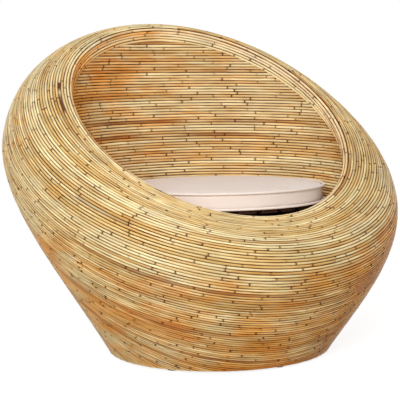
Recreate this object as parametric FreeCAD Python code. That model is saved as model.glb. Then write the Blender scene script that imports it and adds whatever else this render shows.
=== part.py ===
import FreeCAD, Part
import math, os
from FreeCAD import Vector

# A round lounge chair: a shell of cane laid over bent poles and laths, with a tub inside it for the seat.
# X is the chair's left and right, its front looks to -Y, and Z is up from the floor. The shape is laid out
# round the middle of the base hoop, and each piece is then moved so that the origin is on the floor under
# the middle of the whole chair. Sizes are in millimetres and angles in degrees.

# Cane, laths and poles
cane = 7.0                      # diameter of the cane, and so the thickness of each skin
rib_depth = 10.0                # outer ribs, measured from the skin inwards
rib_width = 18.0
lining_rib_depth = 8.0
lining_rib_width = 16.0
base_pole = 26.0
belly_pole = 20.0
rim_pole = 12.0
rim_pole_drop = 15.2            # from the crest down to the middle of the rim pole
belly_pole_inset = 29.6         # from the belly line in to the middle of the belly pole
seat_pole = 22.0
post_diameter = 20.0
rail_diameter = 22.0
bearing_gap = 0.2               # room between pieces that bear on each other

# Glides and the square pins that hold them
glide_height = 6.0
glide_diameter = 26.0
glide_count = 6
glide_start = 36.0              # direction of the first glide
pin_width = 3.0
pin_in_glide = 4.0
pin_in_pole = 14.0
pin_clearance = 0.1

# Cushion, which the opening and the tub are laid out round
cushion_radius = 272.0
cushion_centre_y = -4.5
cushion_edge = 43.0             # height of the side, with both pipings
cushion_crown = 18.0
crown_flat_radius = 130.0
cloth = 1.2
piping = 6.0
cushion_gap = 0.3
foam_gap = 0.2

# Tub, the lining from the seat up to the lip, bent outwards along its waist
tub_half_width = cushion_radius + 24.0
tub_front = cushion_radius - 10.0
tub_back = cushion_radius + 12.0
tub_centre_y = 2.0
tub_floor_z = 348.0
waist_half_width = cushion_radius + 104.0
waist_front = cushion_radius + 8.0
waist_back = cushion_radius + 60.0
waist_centre_y = 14.0
waist_centre_z = tub_floor_z + 93.0
waist_tilt = 19.0

# Base edge, where the skin ends just over the floor
base_radius = 281.0

# Crest line, along the top of the rolled rim
crest_half_width = cushion_radius + 95.0
crest_front = cushion_radius + 125.0
crest_back = cushion_radius + 115.0
crest_tilt = 37.2
crest_ahead = 15.7              # the crest's front, ahead of the cushion
crest_over_seat = 16.5          # the crest's front, over the tub's floor
crest_centre_y = (cushion_centre_y - cushion_radius - crest_ahead
                  + crest_front * math.cos(math.radians(crest_tilt)))
crest_centre_z = tub_floor_z + crest_over_seat + crest_front * math.sin(math.radians(crest_tilt))

# Belly line, the widest oval of the shell, tilted up to the back
belly_half_width = crest_half_width + 139.0
belly_front = crest_front + 160.0
belly_back = crest_back + 186.0
belly_centre_y = 93.5
belly_tilt = 28.0
belly_front_z = 188.0           # the belly's front, over the floor
belly_centre_z = belly_front_z + belly_front * math.sin(math.radians(belly_tilt))

# How the shell bends between these lines
base_straightness = 0.53        # share of the way to the belly's lower handle
belly_handle_below = 79.0
belly_handle_above = 147.0
crest_handle = 34.0
roll_inset = 15.0               # from the crest in to the lip
roll_drop = 16.0                # from the crest down to the lip
quarter_round = 0.55            # handle of a quarter round, as a share of its radius

# Grooves between courses of cane, at some rows of the outer skins
groove_depth = 2.7
groove_half_width = 3.5
lower_grooves = (2, 3, 4)
upper_grooves = (1, 3, 5)

# Ribs, rails and posts
rib_count = 12
rib_start = 15.0
lining_rib_count = 9
lining_rib_start = -30.0
lining_rib_step = 30.0
rail_offset = 95.0
post_count = 6
post_start = 0.0

# Seat
bearer_offset = 165.0           # front and back bearer, from the middle one
bearer_width = 24.0
bearer_height = 24.0
bearer_clearance = 3.0          # from a bearer's end to the lining
slat_count = 9
slat_pitch = 56.0
slat_width = 42.0
slat_height = 12.0
slat_inset = 12.0               # the slats end this far inside the cushion's edge

# How finely the round forms are divided
round_steps = 40
lower_steps = 5
upper_steps = 6
roll_steps = 3
tub_steps = 4
pole_sides = 8

rad = math.radians


class Oval:
    """An egg-shaped hoop in a plane tilted up to the back. front and back are measured in that plane."""

    def __init__(self, half_width, front, back, centre_y, centre_z, tilt):
        self.half_width = half_width
        self.front = front
        self.back = back
        self.centre_y = centre_y
        self.centre_z = centre_z
        self.tilt = tilt

    def moved(self, grow=0.0, lift=0.0):
        """The same hoop, larger all round by grow and shifted square to its plane by lift."""
        return Oval(self.half_width + grow, self.front + grow, self.back + grow,
                    self.centre_y - lift * math.sin(rad(self.tilt)),
                    self.centre_z + lift * math.cos(rad(self.tilt)), self.tilt)

    def at(self, turn):
        depth = (self.front + self.back) / 2.0
        egg = (self.back - self.front) / 2.0
        along = depth * math.sin(turn) + egg * math.sin(turn) ** 2
        return Vector(self.half_width * math.cos(turn),
                      self.centre_y + along * math.cos(rad(self.tilt)),
                      self.centre_z + along * math.sin(rad(self.tilt)))

    def row(self):
        return [self.at(2.0 * math.pi * i / round_steps) for i in range(round_steps)]

    def towards(self, direction):
        """The point of the hoop in a compass direction from its own centre."""
        depth = (self.front + self.back) / 2.0
        return self.at(math.atan2(self.half_width * math.sin(rad(direction)),
                                  depth * math.cos(rad(direction))))


def circle(radius, centre_y, height):
    return Oval(radius, radius, radius, centre_y, height, 0.0)


def cushion_row(radius, height):
    return circle(radius, cushion_centre_y, height).row()


def between(first, second, share):
    return [a + (b - a) * share for a, b in zip(first, second)]


def curve_row(controls, share):
    """The row of points a share of the way along the smooth curve that the control rows pull."""
    rows = controls
    while len(rows) > 1:
        rows = [between(a, b, share) for a, b in zip(rows, rows[1:])]
    return rows[0]


def wall_rows(controls, steps):
    return [curve_row(controls, i / steps) for i in range(steps + 1)]


def flat_face(points):
    return Part.Face(Part.makePolygon(points + points[:1]))


def strip_faces(low, high, downward=False):
    """Flat panels between two rows, divided alike on the chair's left and right and on both sides of a wall."""
    faces = []
    for i in range(round_steps):
        j = (i + 1) % round_steps
        on_right = i < round_steps // 4 or i >= round_steps - round_steps // 4
        if on_right != downward:
            faces.append(flat_face([low[i], low[j], high[j]]))
            faces.append(flat_face([low[i], high[j], high[i]]))
        else:
            faces.append(flat_face([low[i], low[j], high[i]]))
            faces.append(flat_face([low[j], high[j], high[i]]))
    return faces


def solid_from(faces):
    shell = Part.makeShell(faces)
    shell.sewShape()
    solid = Part.makeSolid(shell)
    if solid.Volume < 0:
        solid.reverse()
    return solid


def ring_solid(rows):
    """A closed ring whose section is the loop of rows."""
    faces = []
    for low, high in zip(rows, rows[1:] + rows[:1]):
        faces += strip_faces(low, high)
    return solid_from(faces)


def wall_solid(near, far):
    """A wall between its two sides, both given as rows from its foot upwards."""
    faces = strip_faces(near[-1], far[-1]) + strip_faces(far[0], near[0])
    for low, high in zip(near, near[1:]):
        faces += strip_faces(low, high)
    for low, high in zip(far, far[1:]):
        faces += strip_faces(high, low, True)
    return solid_from(faces)


def disc_solid(rows):
    """A solid closed by a flat face on its first and on its last row."""
    faces = [flat_face(rows[0]), flat_face(rows[-1])]
    for low, high in zip(rows, rows[1:]):
        faces += strip_faces(low, high)
    return solid_from(faces)


def pole_corners(diameter):
    """Offsets of the corners of a pole's section, which has flats on its four sides."""
    corner = diameter / 2.0 / math.cos(math.pi / pole_sides)
    turns = [2.0 * math.pi * (i + 0.5) / pole_sides for i in range(pole_sides)]
    return [(corner * math.cos(turn), corner * math.sin(turn)) for turn in turns]


def bent_pole(line, diameter):
    return ring_solid([line.moved(grow=out, lift=up).row() for out, up in pole_corners(diameter)])


def straight_pole(start, along, diameter):
    sideways = along.cross(Vector(0, 0, 1)).normalize()
    upwards = sideways.cross(along).normalize()
    section = [start + sideways * out + upwards * up for out, up in pole_corners(diameter)]
    return flat_face(section).extrude(along)


def upright_slab(direction, width):
    """A slab from the Z axis outwards that cuts one lath out of a wall."""
    reach = 2.0 * belly_back
    slab = Part.makeBox(reach, width, reach, Vector(0, -width / 2.0, 0))
    slab.rotate(Vector(0, 0, 0), Vector(0, 0, 1), direction)
    return slab


def largest(shape):
    return max(shape.Solids, key=lambda solid: solid.Volume)


def laths(wall, directions, width):
    """Laths cut out of a wall, each ending against the rim pole."""
    room = rim_room()
    return [largest(wall.common(upright_slab(direction, width)).cut(room)) for direction in directions]


def steps_round(count, start):
    return [start + 360.0 * i / count for i in range(count)]


base_line = circle(base_radius, 0.0, glide_height)
belly_line = Oval(belly_half_width, belly_front, belly_back, belly_centre_y, belly_centre_z, belly_tilt)
crest_line = Oval(crest_half_width, crest_front, crest_back, crest_centre_y, crest_centre_z, crest_tilt)
tub_line = Oval(tub_half_width, tub_front, tub_back, tub_centre_y, tub_floor_z, 0.0)
waist_line = Oval(waist_half_width, waist_front, waist_back, waist_centre_y, waist_centre_z, waist_tilt)
flare = math.atan2(belly_half_width - base_radius,
                   belly_centre_z - belly_handle_below - glide_height)


def lower_controls(depth):
    """Base to belly, at a depth under the outside of the cane."""
    base = base_line.moved(grow=-depth / math.cos(flare)).row()
    belly = belly_line.moved(grow=-depth)
    knee = belly.moved(lift=-belly_handle_below).row()
    return [base, between(base, knee, base_straightness), knee, belly.row()]


def upper_controls(depth):
    """Belly to crest."""
    belly = belly_line.moved(grow=-depth)
    crest = crest_line.moved(lift=-depth)
    return [belly.row(), belly.moved(lift=belly_handle_above).row(),
            crest.moved(grow=crest_handle).row(), crest.row()]


def roll_controls(depth):
    """Crest over and down to the lip."""
    inset = roll_inset - depth
    crest = crest_line.moved(lift=-depth)
    lip = crest_line.moved(grow=-inset, lift=-roll_drop)
    return [crest.row(), crest.moved(grow=-quarter_round * inset).row(),
            lip.moved(lift=quarter_round * (roll_drop - depth)).row(), lip.row()]


def tub_controls(depth):
    """Seat up to the lip, at a depth behind the face of the lining."""
    lip = crest_line.moved(grow=-(roll_inset - depth), lift=-roll_drop - bearing_gap)
    return [tub_line.moved(grow=depth).row(), waist_line.moved(grow=depth).row(), lip.row()]


def wall_between(controls, near, far, steps):
    """The skin between two depths of one curved wall."""
    return wall_solid(wall_rows(controls(near), steps), wall_rows(controls(far), steps))


def aside(row, other, distance):
    """The points of a row, each moved a distance towards its fellow in another row."""
    return [a + (b - a).normalize() * distance for a, b in zip(row, other)]


def coursed_skin(controls, steps, grooves):
    """An outer skin whose face has grooves between courses of cane at some of its rows."""
    face = controls(0.0)
    bed = controls(groove_depth)
    rows = []
    for i, row in enumerate(wall_rows(face, steps)):
        if i in grooves:
            rows.append(aside(row, curve_row(face, (i - 0.5) / steps), groove_half_width))
            rows.append(curve_row(bed, i / steps))
            rows.append(aside(row, curve_row(face, (i + 0.5) / steps), groove_half_width))
        else:
            rows.append(row)
    return wall_solid(rows, wall_rows(controls(cane), steps))


def outer_rib_wall():
    """The room for the outer ribs, just under the two outer skins."""
    near = cane + bearing_gap
    sides = [wall_rows(lower_controls(depth), lower_steps)[:-1] + wall_rows(upper_controls(depth), upper_steps)
             for depth in (near, near + rib_depth)]
    return wall_solid(*sides)


def lining_rib_wall():
    near = cane + bearing_gap
    return wall_between(tub_controls, near, near + lining_rib_depth, tub_steps)


def base_hoop_line():
    """Middle of the base pole, which stands on the glides and against the ribs' lower ends."""
    radius = base_pole / 2.0
    ribs_back = cane + 2.0 * bearing_gap + rib_depth
    corner = radius / math.cos(math.pi / pole_sides)
    inset = (ribs_back + corner) / math.cos(flare) - radius * math.tan(flare)
    return base_line.moved(grow=-inset, lift=radius)


def belly_hoop_line():
    return belly_line.moved(grow=-belly_pole_inset)


def rim_hoop_line():
    return crest_line.moved(lift=-rim_pole_drop)


def rim_room():
    """The rim pole's place with all that is inside and above it, where no rib may reach."""
    line = rim_hoop_line()
    near = rim_pole / 2.0 + bearing_gap
    far = 2.0 * rim_pole_drop
    corners = [(near, -near), (near, far), (-far, far), (-far, -near)]
    return ring_solid([line.moved(grow=out, lift=up).row() for out, up in corners])


def seat_hoop_line():
    return tub_line.moved(grow=cane / 2.0, lift=-(bearing_gap + seat_pole / 2.0))


def glide_points():
    line = base_hoop_line()
    return [line.towards(direction) for direction in steps_round(glide_count, glide_start)]


def pins(clearance):
    """Square pins out of the glides' tops, larger all round by the clearance."""
    width = pin_width + 2.0 * clearance
    length = pin_in_glide + pin_in_pole + 2.0 * clearance
    foot_z = glide_height - pin_in_glide - clearance
    return [Part.makeBox(width, width, length, Vector(point.x - width / 2.0, point.y - width / 2.0, foot_z))
            for point in glide_points()]


def glides():
    discs = [Part.makeCylinder(glide_diameter / 2.0, glide_height, Vector(point.x, point.y, 0))
             for point in glide_points()]
    return [disc.cut(hole) for disc, hole in zip(discs, pins(pin_clearance))]


def base_hoop():
    return bent_pole(base_hoop_line(), base_pole).cut(Part.makeCompound(pins(pin_clearance)))


def base_rails(hoop):
    """Two cross poles, coped to the inside of the base hoop."""
    line = base_hoop_line()
    shapes = []
    for side in (-1.0, 1.0):
        y = side * rail_offset
        half = math.sqrt(line.half_width ** 2 - y ** 2)
        rail = straight_pole(Vector(-half, y, line.centre_z), Vector(2.0 * half, 0, 0), rail_diameter)
        shapes.append(largest(rail.cut(hoop)))
    return shapes


def seat_posts():
    """Slanting posts from the base hoop up to the seat hoop, cut level at both ends."""
    foot_z = glide_height + base_pole + bearing_gap
    head_z = tub_floor_z - seat_pole - 2.0 * bearing_gap
    shapes = []
    for direction in steps_round(post_count, post_start):
        foot = base_hoop_line().towards(direction)
        head = seat_hoop_line().towards(direction)
        slope = (head - foot) * (1.0 / (head.z - foot.z))
        post = straight_pole(foot, slope * (head.z - foot.z), post_diameter)
        layer = Part.makeBox(2.0 * belly_back, 2.0 * belly_back, head_z - foot_z,
                             Vector(-belly_back, -belly_back, foot_z))
        shapes.append(largest(post.common(layer)))
    return shapes


def seat_bearers():
    """Three cross laths that lie on the seat hoop, just inside the lining."""
    shapes = []
    for place in (-1.0, 0.0, 1.0):
        y = tub_centre_y + place * bearer_offset
        edge = abs(place) * bearer_offset + bearer_width / 2.0
        depth = tub_front if place < 0 else tub_back
        half = tub_half_width * math.sqrt(1.0 - (edge / depth) ** 2) - bearer_clearance
        shapes.append(Part.makeBox(2.0 * half, bearer_width, bearer_height,
                                   Vector(-half, y - bearer_width / 2.0, tub_floor_z)))
    return shapes


def seat_slats():
    """Laths from front to back on the bearers, cut off round under the cushion's edge."""
    bottom = tub_floor_z + bearer_height + bearing_gap
    radius = cushion_radius - slat_inset
    disc = Part.makeCylinder(radius, slat_height, Vector(0, cushion_centre_y, bottom))
    shapes = []
    for i in range(slat_count):
        x = (i - (slat_count - 1) / 2.0) * slat_pitch
        slat = Part.makeBox(slat_width, 2.0 * radius, slat_height,
                            Vector(x - slat_width / 2.0, cushion_centre_y - radius, bottom))
        shapes.append(slat.common(disc).Solids[0])
    return shapes


seat_top = tub_floor_z + bearer_height + bearing_gap + slat_height
cushion_bottom = seat_top + cushion_gap - piping / 2.0
cushion_top = cushion_bottom + cushion_edge


def cushion_pieces():
    """The side band stands between the pipings, and the panels close it above and below."""
    side = cushion_radius - piping / 2.0
    piping_low = circle(side, cushion_centre_y, cushion_bottom + piping / 2.0)
    piping_high = circle(side, cushion_centre_y, cushion_top - piping / 2.0)
    panel = cushion_radius - piping - foam_gap
    band_low = cushion_bottom + piping + foam_gap
    band_high = cushion_top - piping - foam_gap
    under = cushion_bottom + piping / 2.0
    over = cushion_top - piping / 2.0
    foam = side - cloth - foam_gap
    crown = over + cushion_crown
    return {
        "cushion_foam": disc_solid([cushion_row(panel - foam_gap, under + cloth + foam_gap),
                                    cushion_row(foam, band_low),
                                    cushion_row(foam, band_high),
                                    cushion_row(panel - foam_gap, over - cloth - foam_gap),
                                    cushion_row(crown_flat_radius, crown - cloth - foam_gap)]),
        "cushion_side_band": ring_solid([cushion_row(side, band_low), cushion_row(side, band_high),
                                         cushion_row(side - cloth, band_high), cushion_row(side - cloth, band_low)]),
        "cushion_top_panel": disc_solid([cushion_row(crown_flat_radius, crown - cloth),
                                         cushion_row(panel, over - cloth),
                                         cushion_row(panel, over),
                                         cushion_row(crown_flat_radius, crown)]),
        "cushion_bottom_panel": disc_solid([cushion_row(panel, under), cushion_row(panel, under + cloth)]),
        "cushion_piping_top": bent_pole(piping_high, piping),
        "cushion_piping_bottom": bent_pole(piping_low, piping),
    }


def chair_pieces():
    hoop = base_hoop()
    lining_directions = [lining_rib_start + lining_rib_step * i for i in range(lining_rib_count)]
    pieces = {
        "glides": glides(),
        "glide_pins": pins(0.0),
        "base_hoop": hoop.Solids,
        "base_rails": base_rails(hoop),
        "seat_posts": seat_posts(),
        "outer_ribs": laths(outer_rib_wall(), steps_round(rib_count, rib_start), rib_width),
        "belly_hoop": [bent_pole(belly_hoop_line(), belly_pole)],
        "rim_hoop": [bent_pole(rim_hoop_line(), rim_pole)],
        "lining_ribs": laths(lining_rib_wall(), lining_directions, lining_rib_width),
        "seat_hoop": [bent_pole(seat_hoop_line(), seat_pole)],
        "seat_bearers": seat_bearers(),
        "seat_slats": seat_slats(),
        "lower_skin": [coursed_skin(lower_controls, lower_steps, lower_grooves)],
        "upper_skin": [coursed_skin(upper_controls, upper_steps, upper_grooves)],
        "rim_roll": [wall_between(roll_controls, 0.0, cane, roll_steps)],
        "lining": [wall_between(tub_controls, 0.0, cane, tub_steps)],
    }
    for name, solid in cushion_pieces().items():
        pieces[name] = [solid]
    return pieces


def main():
    os.makedirs("parts", exist_ok=True)
    pieces = chair_pieces()
    shell = Part.makeCompound(pieces["lower_skin"] + pieces["upper_skin"]).BoundBox
    to_middle = Vector(0, -(shell.YMin + shell.YMax) / 2.0, 0)
    for name, solids in pieces.items():
        shape = solids[0] if len(solids) == 1 else Part.makeCompound(solids)
        shape.translate(to_middle)
        shape.exportStep("parts/" + name + ".step")
        print(name, len(solids), shape.isValid(), round(shape.Volume))
    print("moved by", to_middle)


main()
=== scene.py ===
import bpy
import bmesh
import math
import numpy as np
from mathutils import Matrix, Vector


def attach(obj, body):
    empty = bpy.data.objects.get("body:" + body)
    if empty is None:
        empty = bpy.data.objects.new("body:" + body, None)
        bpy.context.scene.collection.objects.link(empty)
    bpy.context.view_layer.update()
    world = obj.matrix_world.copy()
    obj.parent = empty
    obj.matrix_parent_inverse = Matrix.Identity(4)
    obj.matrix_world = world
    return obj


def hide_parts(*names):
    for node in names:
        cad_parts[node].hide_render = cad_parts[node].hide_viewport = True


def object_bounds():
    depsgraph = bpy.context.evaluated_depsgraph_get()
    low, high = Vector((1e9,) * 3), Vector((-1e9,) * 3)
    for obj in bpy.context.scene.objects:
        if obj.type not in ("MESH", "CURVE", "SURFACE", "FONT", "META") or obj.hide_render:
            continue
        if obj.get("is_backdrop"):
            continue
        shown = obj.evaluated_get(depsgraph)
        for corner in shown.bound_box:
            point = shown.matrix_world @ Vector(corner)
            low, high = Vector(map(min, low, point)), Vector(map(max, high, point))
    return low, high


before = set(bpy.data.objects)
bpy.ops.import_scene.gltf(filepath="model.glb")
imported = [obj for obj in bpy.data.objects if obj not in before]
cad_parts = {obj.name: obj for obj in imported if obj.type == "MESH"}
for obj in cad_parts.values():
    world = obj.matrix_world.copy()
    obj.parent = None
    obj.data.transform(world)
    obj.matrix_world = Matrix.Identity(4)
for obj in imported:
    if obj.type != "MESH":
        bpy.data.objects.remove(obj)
cad_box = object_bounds()

# The round cane chair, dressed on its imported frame. Sizes are in metres and angles in degrees.
# X is the chair's left and right, its front looks to -Y, and Z is up from the floor.

# Courses of cane
outer_pitch = 0.0068            # from one course to the next
rim_pitch = 0.0073
lining_pitch = 0.0077
outer_cane_radius = 0.00345
rim_cane_radius = 0.0037
lining_cane_radius = 0.0039
cane_depth = 0.0035             # middle of a cane, under the face of its skin
cane_sides = 8
cane_step = 0.020               # longest straight stretch of a cane
rim_courses = 3
lip_courses = 2                 # courses along the lip that lie over the ends of the level ones
lip_proud = 0.0016

# Each cane
shortest_cane = 0.75
longest_cane = 2.1
shortest_offcut = 0.03          # a shorter cane is left out
shortest_stretch = 0.012        # a shorter part of a cane on one skin is left out
joint_gap = 0.0012              # between two canes that meet end to end
joint_clearance = 0.2           # least distance from a course's last joint to its first
thinnest = 0.98
thickest = 1.04
uneven = 0.00025                # how far a whole cane may stand proud of its course
waver = 0.00006
waver_out = (9.0, 23.0)         # how quickly a course wavers in and out, and from side to side
waver_across = (7.0, 19.0)
parting_share = 0.5             # share of knots and ends where the cane stands off from its neighbour
parting_width = 0.0004
shortest_parting = 0.008
longest_parting = 0.030
touch = 0.0001
cane_stock = 50.0               # the grain of each cane starts somewhere on this length
outer_seed = 71
inner_seed = 83
pole_seed = 29

# Knots and ends
shortest_internode = 0.09
longest_internode = 0.25
first_knot = 0.03               # least distance from a cane's ends
last_knot = 0.02
faintest_knot = 0.3
end_darkness = 0.25
knot_reach = 0.0035             # how far a knot thickens the cane to each side
knot_swell = 1.05
end_taper = 0.8
end_points = (0.001, 0.004)
edge_clearance = 0.008          # no knot is shaped nearer than this to the end of a stretch

# Poles
base_pole_radius = 0.013
seat_pole_radius = 0.011
post_radius = 0.010
post_count = 6
rail_radius = 0.011
rail_offset = 0.095
base_hoop_radius = 0.25204      # to the middle of the base pole
bearing_gap = 0.0002
pole_sides = 20
hoop_points = 120
pole_points = 25
pole_knot_darkness = 0.6

# Base edge
base_radius = 0.281
glide_height = 0.006
cut_margin = 0.02               # the canes run on this far before they are cut off at the base edge
hollow_radius = 0.250           # the floor stays dark this far out under the chair

# How the shell bends between its lines
base_straightness = 0.53
belly_handle_below = 0.079
belly_handle_above = 0.147
crest_handle = 0.034
roll_inset = 0.015
roll_drop = 0.016
quarter_round = 0.55
roll_span = 0.05                # how much of a place on the inner skins the roll takes

# Painted sheen: canes that face this way stay paler, and those turned away are painted deeper and more orange
sheen_direction = (-0.55, -0.35, 0.76)

# Dark stretches of the outer courses: course, first and last turn in degrees, strength
stains = ((3, 160.0, 165.5, 1.0), (3, 168.0, 177.0, 0.95), (4, 176.0, 204.0, 0.3), (20, 205.0, 222.0, 0.4),
          (2, 318.0, 342.0, 0.2), (3, 320.0, 345.0, 0.3))
stain_edge = 0.5

# The chair's middle lies this far behind the middle of its base
middle_y = 0.0916975

# Cushion
cushion_radius = 0.272
cushion_y = -0.0045 - middle_y
cushion_low = 0.3815            # underside of the lower piping
cover_low = 0.3825              # underside of the cover
cushion_high = 0.4245           # top of the upper piping
cushion_corner = 0.012
piping_radius = 0.003
form_inset = 0.0028             # the form starts smaller than the cushion, and swells
form_shrink = 0.0015
form_crown = 0.008
form_sides = 72
crown_rings = 8
fill_pressure = 4.0
fill_frames = 20
fill_cap = 0.004                # no point of the cover moves further
voxel = 0.006
seam_dent = 0.0025              # how far the piping draws the cover in
seam_reach = 0.008
piping_points = 180
piping_sides = 10
side_slope = 0.6                # faces steeper than this belong to the side band

# How finely a course is worked out
stations = 360
steps_per_course = 6
look_ahead = 0.002
evening = 16.0                  # how little each step smooths the course

# Light
floor_tone = 0.36
floor_glow = 0.85
room_light = 0.46
lamps = (("key", 90.0, (1.4, 1.2), (-2.2, -2.9, 1.6), (0.0, 0.0, 0.45)),
         ("top", 6.0, (1.6, 1.2), (-0.4, -0.6, 2.9), (0.0, 0.0, 0.5)),
         ("fill", 3.5, (2.0, 1.6), (2.6, -1.4, 1.3), (0.0, 0.0, 0.4)))

rad = math.radians
full_turn = 2.0 * math.pi


class Oval:
    """An egg-shaped hoop in a plane tilted up to the back, as in the part's source."""

    def __init__(self, half_width, front, back, centre_y, centre_z, tilt):
        self.half_width = half_width
        self.front = front
        self.back = back
        self.centre_y = centre_y
        self.centre_z = centre_z
        self.tilt = rad(tilt)

    def moved(self, grow=0.0, lift=0.0):
        return Oval(self.half_width + grow, self.front + grow, self.back + grow,
                    self.centre_y - lift * math.sin(self.tilt),
                    self.centre_z + lift * math.cos(self.tilt), math.degrees(self.tilt))

    def at(self, turn):
        depth = (self.front + self.back) / 2.0
        egg = (self.back - self.front) / 2.0
        along = depth * np.sin(turn) + egg * np.sin(turn) ** 2
        return np.stack([self.half_width * np.cos(turn),
                         self.centre_y - middle_y + along * math.cos(self.tilt),
                         self.centre_z + along * math.sin(self.tilt)], axis=-1)

    def facing(self, direction):
        """The point in a compass direction from the oval's own centre."""
        depth = (self.front + self.back) / 2.0
        turn = math.atan2(self.half_width * math.sin(rad(direction)), depth * math.cos(rad(direction)))
        return self.at(np.array([turn]))[0]


base_line = Oval(base_radius, base_radius, base_radius, 0.0, glide_height, 0.0)
belly_line = Oval(0.506, 0.557, 0.573, 0.0935, 0.4495, 28.0)
crest_line = Oval(0.367, 0.397, 0.387, 0.02402, 0.60453, 37.2)
tub_line = Oval(0.296, 0.262, 0.284, 0.002, 0.348, 0.0)
waist_line = Oval(0.376, 0.280, 0.332, 0.014, 0.441, 19.0)
flare = math.atan2(belly_line.half_width - base_radius,
                   belly_line.centre_z - belly_handle_below - glide_height)


def bend(controls, share):
    """The points a share of the way along the smooth curves that the control points pull."""
    share = share[:, None]
    rows = controls
    while len(rows) > 1:
        rows = [a + (b - a) * share for a, b in zip(rows, rows[1:])]
    return rows[0]


def lower_wall(turn, share, depth):
    """Belly down to the base edge."""
    base = base_line.moved(grow=-depth / math.cos(flare)).at(turn)
    belly = belly_line.moved(grow=-depth)
    knee = belly.moved(lift=-belly_handle_below).at(turn)
    return bend([belly.at(turn), knee, base + (knee - base) * base_straightness, base], share)


def upper_wall(turn, share, depth):
    """Crest down to the belly."""
    belly = belly_line.moved(grow=-depth)
    crest = crest_line.moved(lift=-depth)
    return bend([crest.at(turn), crest.moved(grow=crest_handle).at(turn),
                 belly.moved(lift=belly_handle_above).at(turn), belly.at(turn)], share)


def roll_wall(turn, share, depth):
    """Crest over and down to the lip."""
    inset = roll_inset - depth
    crest = crest_line.moved(lift=-depth)
    lip = crest_line.moved(grow=-inset, lift=-roll_drop)
    return bend([crest.at(turn), crest.moved(grow=-quarter_round * inset).at(turn),
                 lip.moved(lift=quarter_round * (roll_drop - depth)).at(turn), lip.at(turn)], share)


def tub_wall(turn, share, depth):
    """Lip down to the seat."""
    lip = crest_line.moved(grow=-(roll_inset - depth), lift=-roll_drop)
    waist = waist_line.moved(grow=depth)
    return bend([lip.at(turn), waist.at(turn), tub_line.moved(grow=depth).at(turn)], share)


def outside(turn, place):
    """The outer skins: 0 is the crest, 1 the belly, 2 the base edge, and from there straight down."""
    high = upper_wall(turn, np.minimum(place, 1.0), cane_depth)
    low = lower_wall(turn, np.clip(place - 1.0, 0.0, 1.0), cane_depth)
    points = np.where((place < 1.0)[:, None], high, low)
    points[:, 2] -= np.clip(place - 2.0, 0.0, None) * belly_line.centre_z
    return points


def inside(turn, place):
    """The roll and the lining: -roll_span is the crest, 0 the lip, 1 the seat."""
    roll = roll_wall(turn, np.minimum(place / roll_span + 1.0, 1.0), cane_depth)
    tub = tub_wall(turn, np.maximum(place, 0.0), cane_depth)
    return np.where((place < 0.0)[:, None], roll, tub)


def lining_and_above(turn, place):
    """The lining, and from the lip straight up, so that a level course can run on past the lip."""
    points = tub_wall(turn, np.maximum(place, 0.0), cane_depth)
    points[:, 2] += np.maximum(-place, 0.0) * tub_line.centre_z
    return points


# Courses: each one runs at a cane's width from the one before, measured on the skin itself

def slopes(wall, turn, place):
    """How a wall's points move with the turn and with the place on it."""
    small = 0.002
    by_turn = (wall(turn + small, place) - wall(turn - small, place)) / (2.0 * small)
    by_place = (wall(turn, place + small) - wall(turn, place - small)) / (2.0 * small)
    return by_turn, by_place


def unit(vectors):
    return vectors / np.linalg.norm(vectors, axis=1)[:, None]


def courses(wall, pitch, first_place, heading, face):
    """The places, points and normals of one course after the other, at even turns.

    heading is 1 towards higher places on the wall, and -1 towards lower ones.
    face is 1 on a skin that is seen from inside the chair, and -1 on one that is seen from outside."""
    even = np.arange(stations) * full_turn / stations
    place = np.full(stations, first_place)
    step = pitch / steps_per_course
    while True:
        points = wall(even, place)
        by_turn, by_place = slopes(wall, even, place)
        yield place.copy(), points, unit(np.cross(by_turn, by_place)) * face
        for _ in range(steps_per_course):
            points = wall(even, place)
            by_turn, by_place = slopes(wall, even, place)
            run = np.roll(points, -1, axis=0) - np.roll(points, 1, axis=0)
            aside = unit(np.cross(np.cross(by_turn, by_place), run))
            aside *= (np.sign((aside * by_place).sum(axis=1)) * heading)[:, None]
            aa = (by_turn * by_turn).sum(axis=1)
            ab = (by_turn * by_place).sum(axis=1)
            bb = (by_place * by_place).sum(axis=1)
            ta = (aside * by_turn).sum(axis=1)
            tb = (aside * by_place).sum(axis=1)
            room = aa * bb - ab * ab
            turn_step = step * (bb * ta - ab * tb) / room
            place_step = step * (aa * tb - ab * ta) / room
            for _ in range(3):
                reached = np.linalg.norm(wall(even + turn_step, place + place_step) - points, axis=1)
                turn_step *= step / reached
                place_step *= step / reached
            place = np.interp(even, even + turn_step, place + place_step, period=full_turn)
            place = (np.roll(place, 1) + (evening - 2.0) * place + np.roll(place, -1)) / evening


class CaneRun:
    """Collects the canes of one piece as one mesh of lines, with what the finish needs at each point."""

    plain = {"thickness": 1.0, "along": 0.0, "knot": 1.0, "knot_depth": 0.0, "parted": 0.0, "tone": 0.5,
             "warmth": 0.0, "faded": 0.0, "stain": 0.0}

    def __init__(self):
        self.points = []
        self.facings = []
        self.edges = []
        self.values = {name: [] for name in self.plain}
        self.count = 0

    def add(self, points, facings, **values):
        self.points.append(points)
        self.facings.append(facings)
        first = self.count
        self.count += len(points)
        self.edges += [(i, i + 1) for i in range(first, self.count - 1)]
        for name, column in self.values.items():
            column.append(np.broadcast_to(values.get(name, self.plain[name]), len(points)).astype(float))

    def mesh(self, name):
        mesh = bpy.data.meshes.new(name)
        mesh.from_pydata(np.concatenate(self.points).tolist(), self.edges, [])
        for key, column in self.values.items():
            layer = mesh.attributes.new(key, "FLOAT", "POINT")
            layer.data.foreach_set("value", np.concatenate(column))
        layer = mesh.attributes.new("facing", "FLOAT_VECTOR", "POINT")
        layer.data.foreach_set("vector", np.concatenate(self.facings).ravel())
        return mesh


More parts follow.
